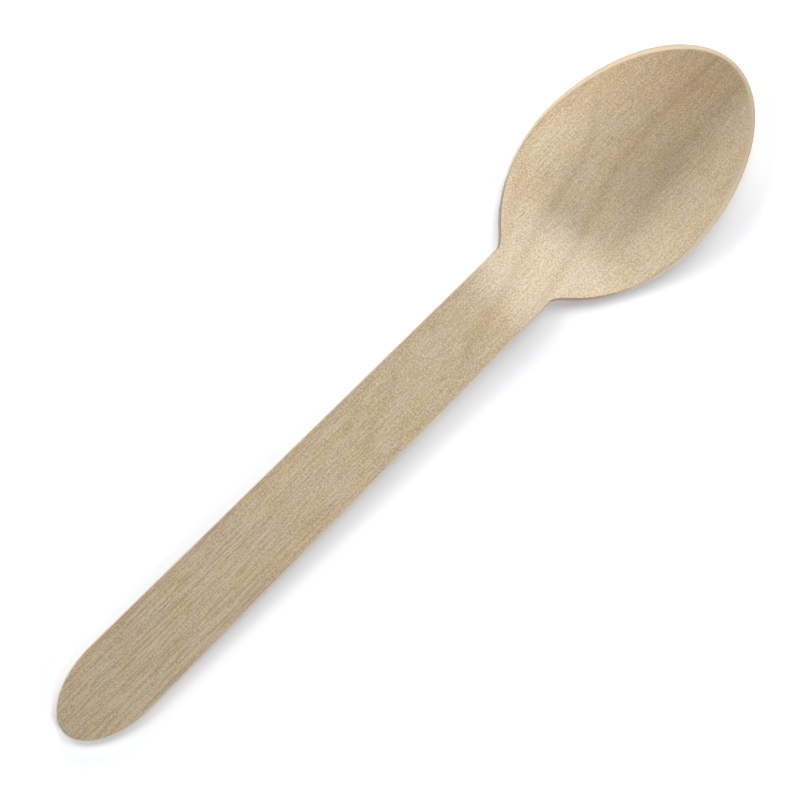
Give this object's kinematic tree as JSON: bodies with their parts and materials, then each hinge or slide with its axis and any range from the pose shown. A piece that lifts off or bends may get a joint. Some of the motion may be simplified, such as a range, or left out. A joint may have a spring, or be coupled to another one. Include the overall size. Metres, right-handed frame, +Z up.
{
  "type": "disposable wooden spoon",
  "caption": "Disposable spoon of one thin piece of pale birch veneer, with a flat round-ended handle and a shallow pressed oval bowl.",
  "frame": {"origin": "on the table that the spoon lies on, under the middle of its length and width", "axes": "+X along the spoon from the end of the handle to the tip of the bowl, +Y across it, +Z up out of the bowl"},
  "size_m": [0.1598, 0.0342, 0.0101],
  "materials": {
    "birch_veneer": "matte"
  },
  "bodies": {
    "root": {"spoon": "birch_veneer"}
  },
  "joints": []
}
